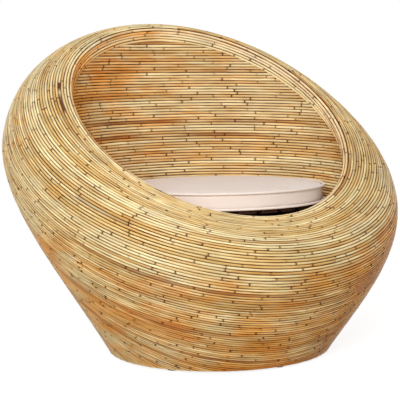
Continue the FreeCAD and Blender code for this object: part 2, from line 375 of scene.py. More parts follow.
def joints_of(chance, length):
    """Where one course's canes meet end to end."""
    joints = []
    reach = chance.uniform(0.0, longest_cane)
    while reach < length - joint_clearance:
        joints.append(reach)
        reach += chance.uniform(shortest_cane, longest_cane)
    if not joints:
        joints.append(chance.uniform(0.0, length))
    return joints


def new_cane(chance, low, high):
    """One cane from low to high along its course: its knots, where it stands off, and its looks."""
    knots = []
    reach = low + chance.uniform(first_knot, longest_internode)
    while reach < high - last_knot:
        knots.append(reach)
        reach += chance.uniform(shortest_internode, longest_internode)
    spots = len(knots) + 2
    depths = chance.uniform(faintest_knot, 1.0, len(knots))
    parts_here = chance.uniform(0.0, 1.0, spots) < parting_share
    partings = np.where(parts_here, np.sign(chance.uniform(-1.0, 1.0, spots)), 0.0)
    parting_runs = (chance.uniform(shortest_parting, longest_parting, spots)
                    * np.sign(chance.uniform(-1.0, 1.0, spots)))
    return {"low": low, "high": high, "knots": np.array([low] + knots + [high]),
            "depths": np.concatenate([[end_darkness], depths, [end_darkness]]),
            "partings": partings, "parting_runs": parting_runs,
            "tone": chance.uniform(0.0, 1.0), "warmth": chance.uniform(0.0, 1.0) ** 2,
            "size": chance.uniform(thinnest, thickest), "proud": chance.uniform(-uneven, uneven),
            "offset": chance.uniform(0.0, cane_stock)}


def lay_course(chance, run_for, points, normals, owners, stained=()):
    """Lays the canes of one closed course. owners gives each point's piece, or None where there is no cane.

    stained holds the course's dark stretches: first and last turn in degrees, and strength."""
    closed = np.concatenate([points, points[:1]])
    wrapped = np.concatenate([normals, normals[:1]])
    turns = np.arange(len(closed)) * 360.0 / len(points)
    marks = np.concatenate([[0.0], np.cumsum(np.linalg.norm(np.diff(closed, axis=0), axis=1))])
    length = marks[-1]
    joints = joints_of(chance, length)
    start = joints[0]
    edges = [0.0] + [joint - start for joint in joints[1:]] + [length]
    shifts = chance.uniform(0.0, full_turn, 4)

    def read(rows, along):
        return np.stack([np.interp(along, marks, rows[:, axis]) for axis in range(3)], axis=-1)

    def place_at(s):
        """Points on the course's line, which wavers a little, where its canes face, their side and stain."""
        along = (s + start) % length
        spot = read(closed, along)
        ahead = read(closed, (along + look_ahead) % length)
        face = unit(read(wrapped, along))
        aside = unit(np.cross(face, ahead - spot))
        out = (np.sin(along * waver_out[0] + shifts[0]) + np.sin(along * waver_out[1] + shifts[1])) * waver
        across = (np.sin(along * waver_across[0] + shifts[2])
                  + np.sin(along * waver_across[1] + shifts[3])) * waver
        turn = np.interp(along, marks, turns)
        stain = np.zeros(len(turn))
        for first, last, strength in stained:
            inner = np.minimum(turn - first, last - turn)
            stain = np.maximum(stain, strength * np.clip(inner + stain_edge, 0.0, 1.0))
        return spot + face * out[:, None] + aside * across[:, None], face, aside, stain

    check = cane_step / 2.0
    samples = np.arange(0.0, length, check)
    owner_at = [owners[int(np.searchsorted(marks, (s + start) % length, side="right") - 1) % len(owners)]
                for s in samples]
    margin = shortest_stretch / 2.0
    for low, high in zip(edges, edges[1:]):
        low = low + joint_gap / 2.0
        high = high - joint_gap / 2.0
        if high - low < shortest_offcut:
            continue
        cane = new_cane(chance, low, high)
        stretches = []
        for s in samples[(samples > low + margin) & (samples < high - margin)]:
            key = owner_at[int(round(s / check)) % len(owner_at)]
            if stretches and stretches[-1][0] == key:
                stretches[-1][2] = s
            else:
                begin = stretches[-1][2] if stretches else low
                stretches.append([key, begin, s])
        if not stretches:
            continue
        stretches[-1][2] = high
        for key, begin, end in stretches:
            if key is not None and end - begin >= shortest_stretch:
                lay_stretch(run_for(key), place_at, begin, end, cane)


def lay_stretch(run, place_at, begin, end, cane):
    """One stretch of cane, with closer points at its knots and ends."""
    special = [begin, end]
    if begin == cane["low"]:
        special += [begin + reach for reach in end_points]
    if end == cane["high"]:
        special += [end - reach for reach in end_points]
    held = [knot for knot in cane["knots"][1:-1] if begin + edge_clearance < knot < end - edge_clearance]
    for knot in held:
        special += [knot - knot_reach, knot, knot + knot_reach]
    special = np.array(sorted(special))
    fill = []
    for a, b in zip(special, special[1:]):
        parts = max(1, math.ceil((b - a) / cane_step))
        fill += [a + (b - a) * i / parts for i in range(parts)]
    spots = np.array(fill + [end])
    thickness = np.full(len(spots), cane["size"])
    if begin == cane["low"]:
        thickness[0] *= end_taper
    if end == cane["high"]:
        thickness[-1] *= end_taper
    for knot in held:
        thickness[np.argmin(np.abs(spots - knot))] *= knot_swell
    away = spots[:, None] - cane["knots"][None, :]
    nearest = np.abs(away).argmin(axis=1)
    on_its_side = away * np.sign(cane["parting_runs"]) >= -touch
    parted = cane["partings"] * np.clip(1.0 - away / cane["parting_runs"], 0.0, 1.0) * on_its_side
    parted = parted[np.arange(len(spots)), np.abs(parted).argmax(axis=1)]
    points, facings, asides, stain = place_at(spots)
    points = points - asides * (parted * parting_width)[:, None] + facings * cane["proud"]
    # The last value tells how far each point faces the direction of the painted sheen.
    run.add(points, facings, thickness=thickness, along=spots + cane["offset"],
            knot=np.abs(away).min(axis=1), knot_depth=cane["depths"][nearest], parted=parted,
            tone=cane["tone"], warmth=cane["warmth"], faded=facings @ np.array(sheen_direction), stain=stain)


# Finishes

def paint(red, green, blue):
    """A colour given as on a screen, 0 to 255, in the renderer's own values."""
    channels = [c / 255.0 for c in (red, green, blue)]
    return tuple(c / 12.92 if c <= 0.04045 else ((c + 0.055) / 1.055) ** 2.4 for c in channels) + (1.0,)


class Nodes:
    """A short hand for building one node tree."""

    def __init__(self, tree):
        self.tree = tree

    def add(self, kind, settings=None, **values):
        node = self.tree.nodes.new(kind)
        for name, value in (settings or {}).items():
            setattr(node, name, value)
        for name, value in values.items():
            self.feed(node, name.replace("_", " "), value)
        return node

    def feed(self, node, name, value):
        """Links or sets one input, given by its name or its number."""
        socket = node.inputs[name]
        if isinstance(value, bpy.types.NodeSocket):
            self.tree.links.new(value, socket)
        else:
            socket.default_value = value

    def math(self, operation, first, second=0.0, clamp=False):
        node = self.add("ShaderNodeMath", {"operation": operation, "use_clamp": clamp})
        self.feed(node, 0, first)
        self.feed(node, 1, second)
        return node.outputs[0]

    def times(self, first, second):
        return self.math("MULTIPLY", first, second)

    def plus(self, first, second):
        return self.math("ADD", first, second)

    def most(self, first, second):
        return self.math("MAXIMUM", first, second)

    def size_of(self, value):
        return self.math("ABSOLUTE", value)

    def mix(self, share, first, second, blend="MIX"):
        node = self.add("ShaderNodeMix", {"data_type": "RGBA", "blend_type": blend})
        self.feed(node, 0, share)
        self.feed(node, 6, first)
        self.feed(node, 7, second)
        return node.outputs[2]

    def shaded(self, colour, shade):
        """The colour times a value, or times another colour."""
        if shade.type == "VALUE":
            shade = self.joined(shade, shade, shade)
        return self.mix(1.0, colour, shade, "MULTIPLY")

    def ramp(self, value, low, high, to_low=0.0, to_high=1.0):
        node = self.add("ShaderNodeMapRange", {"interpolation_type": "SMOOTHSTEP"})
        for slot, entry in enumerate((value, low, high, to_low, to_high)):
            self.feed(node, slot, entry)
        return node.outputs[0]

    def attribute(self, name, vector=False):
        node = self.add("ShaderNodeAttribute", {"attribute_name": name})
        return node.outputs["Vector"] if vector else node.outputs["Fac"]

    def noise(self, vector, detail=2.0, roughness=0.5, scale=1.0):
        node = self.add("ShaderNodeTexNoise", Scale=scale, Detail=detail, Roughness=roughness)
        self.feed(node, "Vector", vector)
        return node.outputs["Fac"]

    def scaled(self, vector, factors):
        node = self.add("ShaderNodeVectorMath", {"operation": "MULTIPLY"})
        self.feed(node, 0, vector)
        self.feed(node, 1, factors)
        return node.outputs[0]

    def joined(self, x, y, z):
        node = self.add("ShaderNodeCombineXYZ")
        for slot, entry in enumerate((x, y, z)):
            self.feed(node, slot, entry)
        return node.outputs[0]

    def here(self):
        return self.add("ShaderNodeTexCoord").outputs["Object"]

    def seen_or_mirrored(self):
        """1 for rays from the camera, or from a glossy or clear surface."""
        rays = self.add("ShaderNodeLightPath")
        bounced = self.most(rays.outputs["Is Glossy Ray"], rays.outputs["Is Transmission Ray"])
        return self.most(rays.outputs["Is Camera Ray"], bounced)


def new_group(name, inputs, *more_outputs):
    """An empty shader node group with its sockets: (group, nodes, its inputs by name, its output node)."""
    group = bpy.data.node_groups.new(name, "ShaderNodeTree")
    for title, value in inputs.items():
        kind = "Float" if isinstance(value, float) else "Color" if len(value) == 4 else "Vector"
        socket = group.interface.new_socket(title, in_out="INPUT", socket_type="NodeSocket" + kind)
        socket.default_value = value
    for title in ("Color", "Roughness", "Height") + more_outputs:
        kind = "Color" if title == "Color" else "Float"
        group.interface.new_socket(title, in_out="OUTPUT", socket_type="NodeSocket" + kind)
    nodes = Nodes(group)
    return group, nodes, nodes.add("NodeGroupInput").outputs, nodes.add("NodeGroupOutput")


def build_cane_group():
    """Cane with its bark on: drifting tones, fine streaks, dark knots, a painted sheen, a painted highlight
    on each cane's crest, and painted shade between the canes.
    """
    group, nodes, given, result = new_group("cane_bark", {
        "Pale": paint(250, 232, 180), "Straw": paint(220, 182, 112), "Honey": paint(196, 143, 66),
        # Of these colours, three carry painted light: the one for the grooves paints the shade between canes,
        # the one for knots also paints the shade beside partings, and the orange multiplier tints the painted
        # shade on canes turned away from the sheen.
        "Russet": paint(136, 72, 26), "Shade tint": paint(255, 198, 112), "Groove shade": paint(116, 60, 10),
        "Knots and gap shade": paint(56, 22, 4), "Stain": paint(88, 34, 12),
        "Knot strength": 1.0, "Russet share": 0.5, "Coat": 0.40}, "Coat")
    times, plus, ramp, joined = nodes.times, nodes.plus, nodes.ramp, nodes.joined
    along = nodes.attribute("along")
    tone = nodes.attribute("tone")
    warmth = nodes.attribute("warmth")
    parted = nodes.attribute("parted")
    section = nodes.add("ShaderNodeSeparateXYZ", Vector=nodes.attribute("section", True))
    out = section.outputs[0]
    side = section.outputs[1]
    here = nodes.here()

    # Patterns: two that drift along a cane, one that runs over the chair, and two of fine streaks
    drift = nodes.noise(joined(times(along, 6.0), times(tone, 31.0), 0.0), 2.0, 0.55)
    slow = nodes.noise(joined(times(along, 3.2), times(warmth, 57.0), 7.0), 1.0)
    patch = nodes.noise(nodes.scaled(here, (9.0, 9.0, 32.0)))
    streak = nodes.noise(joined(times(along, 26.0), times(out, 3.2), times(side, 3.2)), 3.0, 0.6)
    fine = nodes.noise(joined(times(along, 110.0), times(out, 9.0), times(side, 9.0)))

    # The cane's own colour
    brightness = plus(times(drift, 0.9), times(tone, 0.35))
    colour = nodes.mix(ramp(brightness, 0.40, 0.84), given["Straw"], given["Pale"])
    warm = plus(times(slow, 0.6), times(patch, 0.4))
    honey = ramp(plus(warm, times(warmth, 0.15)), 0.52, 0.74)
    colour = nodes.mix(times(honey, 0.8), colour, given["Honey"])
    russet = times(ramp(plus(slow, warmth), 1.34, 1.62), given["Russet share"])
    colour = nodes.mix(russet, colour, given["Russet"])
    shade = ramp(streak, 0.30, 0.72, 0.84, 1.10)
    colour = nodes.shaded(colour, joined(shade, shade, nodes.math("POWER", shade, 1.2)))

    # Painted sheen and shade: canes that face the sheen direction stay paler, those turned away are tinted
    # deeper and more orange, in large blotches; and worn unevenly
    blotch = nodes.noise(nodes.scaled(here, (7.0, 7.0, 18.0)), 2.0, 0.6)
    sheen_side = plus(nodes.attribute("faded"), ramp(blotch, 0.25, 0.75, -0.4, 0.4))
    turned_away = ramp(sheen_side, -0.5, 0.6, 1.0, 0.0)
    colour = nodes.mix(turned_away, colour, nodes.shaded(colour, given["Shade tint"]))
    colour = nodes.shaded(colour, ramp(patch, 0.3, 0.7, 0.86, 1.12))
    colour = nodes.mix(nodes.attribute("stain"), colour, given["Stain"])
    # Painted highlight on each cane's outer crest, and painted shade on its inner side
    colour = nodes.shaded(colour, ramp(out, 0.55, 1.0, 0.90, 1.10))

    # Painted shade in the grooves between canes and on each cane's inner side, wider where the cane stands
    # off
    beside = nodes.most(times(side, nodes.math("SIGN", parted)), 0.0)
    open_share = times(beside, nodes.size_of(parted))
    flank = plus(nodes.size_of(side), times(open_share, 0.42))
    shade_edge_noise = nodes.noise(joined(times(along, 14.0), times(tone, 83.0), times(side, 0.8)), 2.0, 0.6)
    flank = plus(flank, ramp(shade_edge_noise, 0.3, 0.7, -0.14, 0.16))
    groove_shade = nodes.most(ramp(flank, 0.60, 0.92), ramp(out, 0.05, 0.3, 1.0, 0.0))
    colour = nodes.mix(times(groove_shade, 0.92), colour, given["Groove shade"])

    # A thin dark ring at each knot, with a soft halo
    knot = nodes.attribute("knot")
    depth = nodes.attribute("knot_depth")
    ring = times(ramp(knot, 0.0008, 0.0015, 1.0, 0.0), ramp(depth, 0.2, 0.8, 0.2, 1.0))
    halo = times(times(ramp(knot, 0.002, 0.006, 1.0, 0.0), depth), 0.5)
    colour = nodes.mix(halo, colour, given["Russet"])
    knots_and_gap_shade = nodes.math("MULTIPLY", ring, given["Knot strength"], True)
    # Painted shade in the gap beside a parting, in the same dark colour as the knots
    knots_and_gap_shade = nodes.most(knots_and_gap_shade, ramp(open_share, 0.42, 0.62))
    nodes.feed(result, "Color", nodes.mix(knots_and_gap_shade, colour, given["Knots and gap shade"]))

    # Varnish: dull in the grooves and knots
    dull = nodes.most(knots_and_gap_shade, groove_shade)
    nodes.feed(result, "Roughness", plus(ramp(fine, 0.2, 0.8, 0.30, 0.46), times(dull, 0.35)))
    height = plus(times(streak, 0.6), times(fine, 0.4))
    nodes.feed(result, "Height", nodes.math("SUBTRACT", height, times(ring, 0.8)))
    bare = nodes.math("SUBTRACT", 1.0, nodes.most(dull, ramp(knot, 0.0015, 0.003, 1.0, 0.0)))
    nodes.feed(result, "Coat", times(bare, given["Coat"]))
    return group


def build_timber_group():
    """Plain sawn wood: grain drawn out along one axis, with fine pores."""
    group, nodes, given, result = new_group("sawn_grain", {
        "Light": paint(196, 158, 108), "Dark": paint(140, 100, 58), "Stretch": (40.0, 40.0, 4.0)})
    vector = nodes.scaled(nodes.here(), given["Stretch"])
    grain = nodes.noise(vector, 4.0, 0.6, 2.0)
    pores = nodes.noise(vector, scale=14.0)
    both = nodes.plus(nodes.times(grain, 0.75), nodes.times(pores, 0.25))
    nodes.feed(result, "Color", nodes.mix(nodes.ramp(both, 0.36, 0.64), given["Dark"], given["Light"]))
    nodes.feed(result, "Roughness", nodes.ramp(pores, 0.3, 0.7, 0.5, 0.72))
    nodes.feed(result, "Height", both)
    return group


def build_weave_group():
    """Plain woven cotton on the piece's own map, with slubs and slight fading between them."""
    group, nodes, given, result = new_group("cotton_weave", {
        "Thread": paint(247, 232, 222), "Between": paint(229, 210, 197), "Threads per metre": 1100.0})
    place = nodes.add("ShaderNodeUVMap", {"uv_map": "cloth"}).outputs["UV"]
    apart = nodes.add("ShaderNodeSeparateXYZ", Vector=place)
    turn = nodes.times(given["Threads per metre"], math.pi)
    warp = nodes.size_of(nodes.math("SINE", nodes.times(apart.outputs[0], turn)))
    weft = nodes.size_of(nodes.math("SINE", nodes.times(apart.outputs[1], turn)))
    slub = nodes.noise(nodes.scaled(place, (90.0, 900.0, 1.0)), 2.0, 0.6)
    slub_across = nodes.noise(nodes.scaled(place, (900.0, 90.0, 1.0)), 2.0, 0.6)
    both = nodes.times(nodes.plus(slub, slub_across), 0.5)
    light = nodes.plus(nodes.times(nodes.times(warp, weft), 0.45), nodes.times(both, 0.55))
    colour = nodes.mix(nodes.ramp(light, 0.15, 0.62), given["Between"], given["Thread"])
    fade = nodes.ramp(nodes.noise(place, scale=9.0), 0.3, 0.7, 0.965, 1.0)
    nodes.feed(result, "Color", nodes.shaded(colour, fade))
    nodes.feed(result, "Roughness", nodes.ramp(both, 0.3, 0.7, 0.82, 0.95))
    nodes.feed(result, "Height", light)
    return group


def principled(material):
    material.use_nodes = True
    return next(node for node in material.node_tree.nodes if node.type == "BSDF_PRINCIPLED")


def finish_from(name, group, values, bump, bump_height, plain):
    """A material whose colour, roughness and relief come from one group."""
    material = bpy.data.materials.new(name)
    shader = principled(material)
    nodes = Nodes(material.node_tree)
    pattern = nodes.add("ShaderNodeGroup", {"node_tree": group})
    for title, value in values.items():
        pattern.inputs[title].default_value = value
    relief = nodes.add("ShaderNodeBump", Strength=bump, Distance=bump_height,
                       Height=pattern.outputs["Height"])
    nodes.feed(shader, "Base Color", pattern.outputs["Color"])
    nodes.feed(shader, "Roughness", pattern.outputs["Roughness"])
    nodes.feed(shader, "Normal", relief.outputs["Normal"])
    if "Coat" in pattern.outputs:
        nodes.feed(shader, "Coat Weight", pattern.outputs["Coat"])
    for title, value in plain.items():
        shader.inputs[title].default_value = value
    return material


cane_bark = build_cane_group()
sawn_grain = build_timber_group()
cotton_weave = build_weave_group()
varnish = {"Coat Roughness": 0.22, "Specular IOR Level": 0.05}
dull_surface = {"Specular IOR Level": 0.1}
soft_nap = {"Sheen Weight": 0.15, "Sheen Roughness": 0.5}
even_grain = (300.0, 300.0, 300.0)
# Painted shade: the seat laths and bearers are painted near black so that the slot under the cushion's front
# reads dark
shade_dark_laths = {"Light": paint(64, 36, 22), "Dark": paint(40, 22, 14)}
outer_finish = finish_from("varnished_outer_cane", cane_bark, {}, 0.25, 0.0004, varnish)
inner_finish = finish_from("varnished_lining_cane", cane_bark, {
    "Pale": paint(250, 230, 180), "Straw": paint(226, 186, 122), "Honey": paint(204, 148, 74),
    "Russet share": 0.7}, 0.25, 0.0004, varnish)
# Painted sheen: the rim canes are painted paler than the others, for the sheen of the top light on the rim.
rim_finish = finish_from("varnished_rim_cane_painted_sheen", cane_bark, {
    "Pale": paint(254, 238, 198), "Straw": paint(246, 219, 172), "Honey": paint(226, 186, 126),
    "Groove shade": paint(150, 96, 42), "Russet share": 0.15, "Knot strength": 0.6}, 0.2, 0.0003, varnish)
# On the poles the colour for the grooves paints shade on each pole's flanks and inner side.
pole_finish = finish_from("rattan_pole", cane_bark, {
    "Pale": paint(206, 170, 118), "Straw": paint(178, 136, 84), "Honey": paint(150, 100, 52),
    "Groove shade": paint(160, 120, 72), "Coat": 0.2}, 0.3, 0.0006, {"Coat Roughness": 0.3})
lath_finish = finish_from("sawn_lath", sawn_grain, {}, 0.3, 0.0004, {})
slat_finish = finish_from("seat_lath_painted_shade", sawn_grain, dict(shade_dark_laths, Stretch=(40.0, 4.0, 40.0)),
                          0.3, 0.0004, dull_surface)
bearer_finish = finish_from("cross_lath_painted_shade", sawn_grain, dict(shade_dark_laths, Stretch=(4.0, 40.0, 40.0)),
                            0.3, 0.0004, dull_surface)
glide_finish = finish_from("dark_glide_plastic", sawn_grain, {
    "Light": paint(26, 21, 18), "Dark": paint(16, 13, 11), "Stretch": even_grain}, 0.15, 0.0002, dull_surface)
pin_finish = finish_from("bright_pin_steel", sawn_grain, {
    "Light": paint(196, 196, 198), "Dark": paint(160, 160, 164), "Stretch": even_grain},
    0.1, 0.0001, {"Metallic": 1.0})
cloth_finish = finish_from("cream_cotton", cotton_weave, {}, 0.35, 0.0004, soft_nap)
piping_finish = finish_from("cream_piping", cotton_weave, {
    "Thread": paint(250, 238, 229), "Between": paint(230, 213, 201)}, 0.3, 0.0003, soft_nap)


# Tubes along lines

def build_tube_tree():
    """Round tubes along a mesh of lines, each as thick as its points say."""
    tree = bpy.data.node_groups.new("round_canes", "GeometryNodeTree")
    for title, kind in (("Lines", "Geometry"), ("Radius", "Float"), ("Sides", "Int"), ("Finish", "Material")):
        tree.interface.new_socket(title, in_out="INPUT", socket_type="NodeSocket" + kind)
    tree.interface.new_socket("Canes", in_out="OUTPUT", socket_type="NodeSocketGeometry")
    nodes = Nodes(tree)
    given = nodes.add("NodeGroupInput")
    result = nodes.add("NodeGroupOutput")
    line = nodes.add("GeometryNodeMeshToCurve", Mesh=given.outputs["Lines"])
    facing = nodes.add("GeometryNodeInputNamedAttribute", {"data_type": "FLOAT_VECTOR"}, Name="facing")
    turned = nodes.add("GeometryNodeSetCurveNormal", {"mode": "FREE"}, Curve=line.outputs["Curve"],
                       Normal=facing.outputs["Attribute"])
    thickness = nodes.add("GeometryNodeInputNamedAttribute", {"data_type": "FLOAT"}, Name="thickness")
    ring = nodes.add("GeometryNodeCurvePrimitiveCircle", {"mode": "RADIUS"},
                     Resolution=given.outputs["Sides"], Radius=given.outputs["Radius"])
    spot = nodes.add("GeometryNodeInputPosition")
    around = nodes.add("ShaderNodeVectorMath", {"operation": "NORMALIZE"})
    nodes.feed(around, 0, spot.outputs[0])
    kept = nodes.add("GeometryNodeStoreNamedAttribute", {"data_type": "FLOAT_VECTOR", "domain": "POINT"},
                     Geometry=ring.outputs["Curve"], Name="section")
    nodes.feed(kept, "Value", around.outputs[0])
    tube = nodes.add("GeometryNodeCurveToMesh", Curve=turned.outputs["Curve"],
                     Profile_Curve=kept.outputs["Geometry"], Scale=thickness.outputs["Attribute"],
                     Fill_Caps=True)
    smooth = nodes.add("GeometryNodeSetShadeSmooth", Geometry=tube.outputs["Mesh"])
    real = nodes.add("GeometryNodeRealizeInstances", Geometry=smooth.outputs["Geometry"])
    dressed = nodes.add("GeometryNodeSetMaterial", Geometry=real.outputs["Geometry"],
                        Material=given.outputs["Finish"])
    nodes.feed(result, "Canes", dressed.outputs["Geometry"])
    return tree


tube_tree = build_tube_tree()


def link(name, data):
    made = bpy.data.objects.new(name, data)
    bpy.context.scene.collection.objects.link(made)
    return made


def evaluated_mesh(thing):
    view = bpy.context.evaluated_depsgraph_get()
    return bpy.data.meshes.new_from_object(thing.evaluated_get(view))


def tubes(name, run, radius, sides, finish):
    """The plain mesh that the tube tree makes of these lines."""
    mesh = run.mesh(name)
    lines = link(name + "_lines", mesh)
    modifier = lines.modifiers.new("tubes", "NODES")
    modifier.node_group = tube_tree
    for title, value in (("Radius", radius), ("Sides", sides), ("Finish", finish)):
        key = next(item.identifier for item in tube_tree.interface.items_tree
                   if item.name == title and item.in_out == "INPUT")
        modifier[key] = value
    made = evaluated_mesh(lines)
    made.name = name
    bpy.data.objects.remove(lines)
    bpy.data.meshes.remove(mesh)
    return made


def piece(name, mesh, body, slot, *nodes):
    """A finished piece that rides on a body and stands for CAD nodes."""
    made = link(name, mesh)
    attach(made, body)
    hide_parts(*nodes)
    return made


def cut_level(mesh, height):
    """Cuts canes flush at a height, keeps what is above, and closes their ends."""
    work = bmesh.new()
    work.from_mesh(mesh)
    everything = work.verts[:] + work.edges[:] + work.faces[:]
    bmesh.ops.bisect_plane(work, geom=everything, dist=1e-6, plane_co=(0, 0, height), plane_no=(0, 0, -1),
                           clear_outer=True)
    rims = [edge for edge in work.edges if edge.is_boundary]
    for edge in rims:
        edge.smooth = False
    bmesh.ops.holes_fill(work, edges=rims, sides=0)
    work.to_mesh(mesh)
    work.free()


def outer_canes():
    """Courses round the outside, from the crest down, each cut off at the base edge."""
    chance = np.random.default_rng(outer_seed)
    runs = {"upper": CaneRun(), "lower": CaneRun()}
    for number, (place, points, normals) in enumerate(courses(outside, outer_pitch, 0.0, 1.0, -1.0)):
        seen = points[:, 2] > glide_height - cut_margin
        if not seen.any():
            break
        owners = [None if not shown else ("upper" if where < 1.0 else "lower")
                  for shown, where in zip(seen, place)]
        stained = [stretch[1:] for stretch in stains if stretch[0] == number]
        lay_course(chance, runs.get, points, normals, owners, stained)
    return runs


def inner_canes():
    """Courses over the rim to the lip, two more along the lip, and the level courses that end under them."""
    chance = np.random.default_rng(inner_seed)
    runs = {"rim": CaneRun(), "lining": CaneRun()}
    for number, (place, points, normals) in enumerate(courses(inside, rim_pitch, -roll_span, 1.0, 1.0)):
        if 1 <= number <= rim_courses:
            lay_course(chance, runs.get, points, normals, ["rim"] * stations)
        elif number > rim_courses:
            lay_course(chance, runs.get, points + normals * lip_proud, normals, ["lining"] * stations)
        if number == rim_courses + lip_courses:
            lip_end = place
            break
    for place, points, normals in courses(lining_and_above, lining_pitch, 1.0, -1.0, 1.0):
        seen = place > lip_end
        if not seen.any():
            break
        lay_course(chance, runs.get, points, normals, ["lining" if shown else None for shown in seen])
    return runs


def pole_values(along, knots, tone):
    """What the finish needs along a pole."""
    away = np.abs(along[:, None] - knots[None, :]).min(axis=1)
    # The poles all get the same middling share of the painted sheen.
    return {"along": along, "knot": away * 0.5, "knot_depth": pole_knot_darkness, "tone": tone, "warmth": 0.3,
            "faded": 0.2}


def hoop_of_pole(name, line, radius, chance):
    """A pole bent round into a ring along an oval."""
    turns = np.arange(hoop_points) * full_turn / hoop_points
    points = line.at(turns)
    outer = unit(line.moved(grow=0.01).at(turns) - points)
    knots = np.cumsum(chance.uniform(0.2, 0.4, 12))
    run = CaneRun()
    run.add(points, outer, **pole_values(turns * line.half_width, knots, chance.uniform(0.2, 0.8)))
    run.edges.append((hoop_points - 1, 0))
    return tubes(name, run, radius, pole_sides, pole_finish)


def straight_poles(name, ends, radius, chance):
    """Straight poles, each from one point to another."""
    run = CaneRun()
    shares = np.linspace(0.0, 1.0, pole_points)
    facings = np.tile([0.0, -1.0, 0.1], (pole_points, 1))
    for start, end in ends:
        points = np.array(start) * (1.0 - shares[:, None]) + np.array(end) * shares[:, None]
        length = float(np.linalg.norm(points[-1] - points[0]))
        knots = np.cumsum(chance.uniform(0.1, 0.3, 6))
        run.add(points, facings, **pole_values(shares * length, knots, chance.uniform(0.0, 1.0)))
    return tubes(name, run, radius, pole_sides, pole_finish)


def dress_poles():
    chance = np.random.default_rng(pole_seed)
    into_pole = 0.001
    base_z = glide_height + base_pole_radius
    base = Oval(base_hoop_radius, base_hoop_radius, base_hoop_radius, 0.0, base_z, 0.0)
    seat = tub_line.moved(grow=cane_depth, lift=-(bearing_gap + seat_pole_radius))
    base_ring = hoop_of_pole("base_pole_ring", base, base_pole_radius, chance)
    seat_ring = hoop_of_pole("seat_pole_ring", seat, seat_pole_radius, chance)
    posts = []
    for number in range(post_count):
        foot = base.facing(360.0 / post_count * number)
        head = seat.facing(360.0 / post_count * number)
        rise = (head - foot) / (head[2] - foot[2])
        lower_end = foot + rise * (base_pole_radius - into_pole)
        posts.append((lower_end, head - rise * (seat_pole_radius - into_pole)))
    round_posts = straight_poles("round_posts", posts, post_radius, chance)
    half = math.sqrt(base_hoop_radius ** 2 - rail_offset ** 2) - base_pole_radius + 2.0 * into_pole
    rails = [((-half, y, base_z), (half, y, base_z))
             for y in (-rail_offset - middle_y, rail_offset - middle_y)]
    round_rails = straight_poles("round_rails", rails, rail_radius, chance)
    for name, mesh, node in (("base_pole_ring", base_ring, "base_hoop"),
                             ("seat_pole_ring", seat_ring, "seat_hoop"),
                             ("round_posts", round_posts, "seat_posts"),
                             ("round_rails", round_rails, "base_rails")):
        piece(name, mesh, "chair", "rattan_pole", node)


def dress_cane():
    for name, run in outer_canes().items():
        mesh = tubes(name + "_canes", run, outer_cane_radius, cane_sides, outer_finish)
        if name == "lower":
            cut_level(mesh, glide_height)
        piece(name + "_canes", mesh, "chair", "outer_cane", name + "_skin")
    inner = inner_canes()
    rim = tubes("rim_canes", inner["rim"], rim_cane_radius, cane_sides, rim_finish)
    piece("rim_canes", rim, "chair", "outer_cane", "rim_roll")
    lining = tubes("lining_canes", inner["lining"], lining_cane_radius, cane_sides, inner_finish)
    piece("lining_canes", lining, "chair", "lining_cane", "lining")


dress_cane()
dress_poles()


# CAD pieces that keep their own shape

def dress_node(name, finish):
    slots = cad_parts[name].data.materials
    if not len(slots):
        slots.append(finish)
    for index in range(len(slots)):
        slots[index] = finish


for node, finish in (("outer_ribs", lath_finish), ("lining_ribs", lath_finish), ("seat_slats", slat_finish),
                     ("seat_bearers", bearer_finish), ("glides", glide_finish), ("glide_pins", pin_finish),
                     ("belly_hoop", lath_finish), ("rim_hoop", lath_finish)):
    dress_node(node, finish)


# Cushion

def cushion_shell(radius, low, high, crown):
    """A closed round box cushion: flat below, upright at the side and crowned on top."""
    panel = radius - cushion_corner
    profile = [(0.0, low), (panel, low), (radius, low), (radius, low + cushion_corner),
               (radius, high - cushion_corner), (radius, high), (panel, high)]
    for step in range(1, crown_rings + 1):
        reach = panel * (1.0 - step / crown_rings)
        profile.append((reach, high + crown * (1.0 - (reach / panel) ** 2)))
    work = bmesh.new()
    rings = []
    for reach, z in profile:
        if reach == 0.0:
            rings.append([work.verts.new((0.0, cushion_y, z))])
            continue
        turns = [full_turn * i / form_sides for i in range(form_sides)]
        rings.append([work.verts.new((reach * math.cos(turn), cushion_y + reach * math.sin(turn), z))
                      for turn in turns])
    for first, second in zip(rings, rings[1:]):
        for i in range(form_sides):
            j = (i + 1) % form_sides
            corners = [first[i % len(first)], first[j % len(first)],
                       second[j % len(second)], second[i % len(second)]]
            work.faces.new(list(dict.fromkeys(corners)))
    bmesh.ops.recalc_face_normals(work, faces=work.faces[:])
    mesh = bpy.data.meshes.new("cushion_cover")
    work.to_mesh(mesh)
    work.free()
    return mesh


def map_cloth(mesh, reach, all_round):
    """A map in metres: unrolled round the side, and from above on the panels unless all_round is set."""
    layer = mesh.uv_layers.new(name="cloth")
    flat = np.zeros(len(mesh.loops) * 2)
    for face in mesh.polygons:
        unrolled = all_round or abs(face.normal.z) < side_slope
        for loop in face.loop_indices:
            spot = mesh.vertices[mesh.loops[loop].vertex_index].co
            if unrolled:
                flat[2 * loop] = math.atan2(spot.y - cushion_y, spot.x) * reach
                flat[2 * loop + 1] = spot.z
            else:
                flat[2 * loop] = spot.x
                flat[2 * loop + 1] = spot.y
    layer.data.foreach_set("uv", flat)


def points_of(mesh):
    points = np.zeros(len(mesh.vertices) * 3)
    mesh.vertices.foreach_get("co", points)
    return points.reshape(-1, 3)


